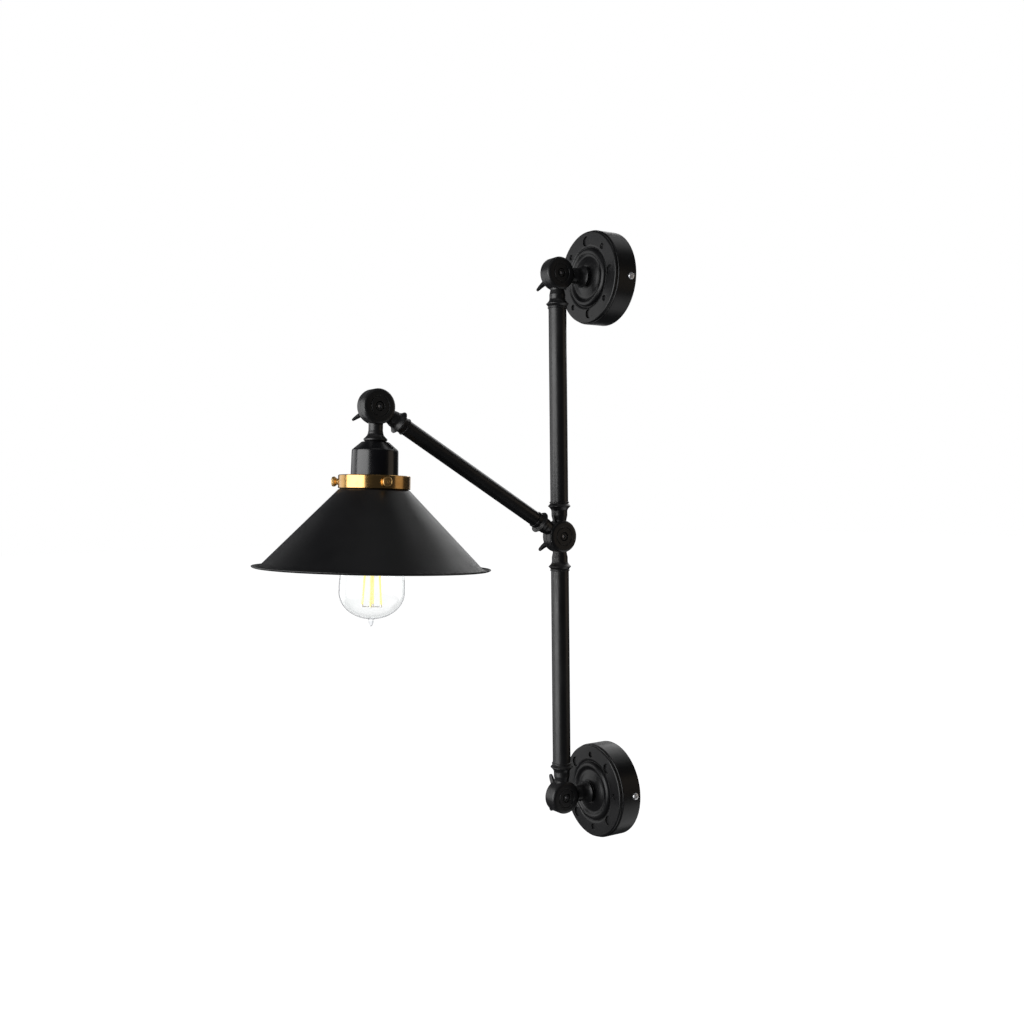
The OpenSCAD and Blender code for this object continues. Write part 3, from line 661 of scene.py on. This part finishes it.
def make_socket_floors():
    """Bare metal at the bottom of each pivot bolt's hexagon socket."""
    socket_depth = 1.5
    floor = [(0, -0.05), (1.55, -0.05), (1.6, 0.1), (1.45, 0.28), (0.9, 0.36), (0.45, 0.2), (0, 0.12)]
    profile = [(r, h - socket_depth) for r, h in floor]
    for name, joint, body in (
        ("upper", "upper_knuckle", "mast"),
        ("centre", "arm_swing", "mast"),
        ("lower", "lower_knuckle", "mast"),
        ("head", "head_tilt", "arm"),
    ):
        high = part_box(f"{name}_pivot_bolt")[1]
        middle = Vector(joints[joint]["pos_m"])
        place = placed(Vector((high.x, middle.y, middle.z)), X)
        piece = spin(f"{name}_bolt_socket_floor", profile, place, 48, closed=False)
        finished(piece, body, "zinc_steel")


def strand_groups():
    """Points of the filaments, sorted by their direction around the head axis."""
    sector = 45
    groups = {}
    for v in nodes["bulb_filaments"].data.vertices:
        off = v.co - HEAD
        side = off - HEAD_DOWN * off.dot(HEAD_DOWN)
        around = math.degrees(math.atan2(side.dot(X), side.dot(HEAD_DOWN.cross(X))))
        groups.setdefault(round(around / sector) % (360 // sector), []).append(v.co.copy())
    return [points for _, points in sorted(groups.items())]


def make_filament_ends():
    """Metal ends on each filament and small weld beads where the wires meet them."""
    corner = (1.06, -1.6)
    profile = smooth_path([
        (0, -1.6), corner, corner, (1.06, 0.3), (0.8, 0.75), (0.42, 1.0), (0, 1.1)], 3)
    pieces = []
    for points in strand_groups():
        points.sort(key=lambda point: (point - HEAD).dot(HEAD_DOWN))
        count = len(points) // 2
        top = sum(points[:count], Vector()) / count
        end = sum(points[count:], Vector()) / count
        axis = (end - top).normalized()
        for origin, outward in ((top, -axis), (end, axis)):
            pieces.append(spin("filament_end", profile, placed(origin, outward), 24, closed=False))
    finished(joined("filament_ends", pieces), "bulb", "nickel")


make_shade()
make_bulb_glass()
make_bulb_cap()
make_holder_shell()
for index in (1, 2, 3):
    make_thumbscrew(index)
make_socket_floors()
make_filament_ends()

# ---------------------------------------------------------------- finish of the CAD nodes


WORDS_OF_LOOK = {
    "shade_black": ("shade",),
    "cup_black": ("socket_cup",),
    "canopy_black": ("canopy",),
    "green_screw": ("ground_screw",),
    "zinc_steel": ("strap", "side_screws", "stem_nut", "washer", "cup_nut"),
    "porcelain": ("lamp_holder", "holder_ring"),
    "contact_brass": ("holder_shell", "holder_contact"),
    "brass": ("gallery_ring",),
    "turned_brass": ("thumbscrew",),
    "clear_glass": ("bulb_glass", "bulb_mount"),
    "nickel": ("bulb_cap", "bulb_contact", "bulb_wires"),
    "black_glass": ("bulb_insulator",),
    "filament": ("bulb_filaments",),
}


def finish_of(name):
    """The look whose words are in a node's name, or satin black."""
    for look, words in WORDS_OF_LOOK.items():
        if any(word in name for word in words):
            return look
    return "satin_black"


for name, node in nodes.items():
    look = LOOKS[finish_of(name)]
    for slot in node.material_slots:
        slot.material = look

# ---------------------------------------------------------------- stage


FLOOR_SIZE = 60
FLOOR_DROP = 1.2


def make_floor():
    """Plain pale floor, low enough for a camera that looks up at the object to stay above it."""
    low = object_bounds()[0]
    bpy.ops.mesh.primitive_grid_add(x_subdivisions=4, y_subdivisions=4, size=FLOOR_SIZE,
                                    location=(0, 0, low[2] - FLOOR_DROP))
    floor = bpy.context.object
    floor.name = "floor"
    mat, tree, shader = new_material("floor")
    place = object_place(tree)
    pale = mix_colour(tree, noise(tree, place, 3, 4), (0.93, 0.93, 0.93), (0.96, 0.96, 0.96))
    tree.links.new(pale, shader.inputs["Base Color"])
    shader.inputs["Roughness"].default_value = 0.9
    shader.inputs["Emission Color"].default_value = (1, 1, 1, 1)
    shader.inputs["Emission Strength"].default_value = 1.0
    floor.data.materials.append(mat)
    floor.visible_glossy = False
    floor.visible_diffuse = False


def make_world():
    """White behind the object and seen through glass, and a dim studio in every reflection."""
    world = bpy.data.worlds.new("studio")
    bpy.context.scene.world = world
    world.use_nodes = True
    tree = world.node_tree
    out = tree.nodes["World Output"]
    seen = tree.nodes["Background"]
    seen.inputs["Color"].default_value = (1, 1, 1, 1)
    seen.inputs["Strength"].default_value = 1.0
    studio = add(tree, "ShaderNodeBackground")
    studio.inputs["Color"].default_value = (0.90, 0.93, 1.0, 1)
    studio.inputs["Strength"].default_value = 0.05
    path = add(tree, "ShaderNodeLightPath")
    direct = math_node(tree, "MAXIMUM", path.outputs["Is Camera Ray"], path.outputs["Is Transmission Ray"])
    mix = add(tree, "ShaderNodeMixShader")
    tree.links.new(direct, mix.inputs[0])
    tree.links.new(studio.outputs[0], mix.inputs[1])
    tree.links.new(seen.outputs[0], mix.inputs[2])
    tree.links.new(mix.outputs[0], out.inputs["Surface"])


# The point that the lights surround and face.
CENTRE = Vector((0, -0.15, -0.26))
WHITE = (1, 1, 1)
AMBER = (1, 0.82, 0.64)
# Degrees to the right of the camera, degrees up, distance, width, height, watts, colour.
LIGHTS = {
    "key_left": (-57, 2, 1.7, 2.0, 1.5, 44, WHITE),
    "back_left": (-116, 0, 1.7, 1.1, 1.4, 6.5, WHITE),
    "fill_right": (90, 2, 2.0, 1.2, 1.2, 2.6, AMBER),
    "back": (180, 2, 2.0, 1.5, 0.5, 1.6, WHITE),
    "back_right": (152, 25, 1.8, 1.1, 0.9, 7, WHITE),
    "top_right": (128, 50, 1.9, 1.1, 1.1, 2.6, WHITE),
    "top_front": (10, 66, 2.0, 1.1, 1.1, 1.6, WHITE),
    "back_fill": (-158, 38, 2.0, 1.0, 1.0, 0.5, WHITE),
    "low_right": (98, -48, 1.8, 1.3, 1.3, 5, WHITE),
}


def softbox(name, from_camera, elevation, distance, width, height, power, colour):
    """Area light that faces the object's middle."""
    data = bpy.data.lights.new(name, "AREA")
    data.shape = "RECTANGLE"
    data.size = width
    data.size_y = height
    data.energy = power
    data.color = colour
    light = bpy.data.objects.new(name, data)
    bpy.context.collection.objects.link(light)
    out = turned_back(CAMERA_AZIMUTH + math.radians(from_camera), math.radians(elevation))
    light.location = CENTRE + out * distance
    light.rotation_euler = out.to_track_quat("Z", "Y").to_euler()
    light.visible_camera = False


make_floor()
make_world()
for name, settings in LIGHTS.items():
    softbox(name, *settings)
bpy.context.scene.view_settings.view_transform = "Standard"
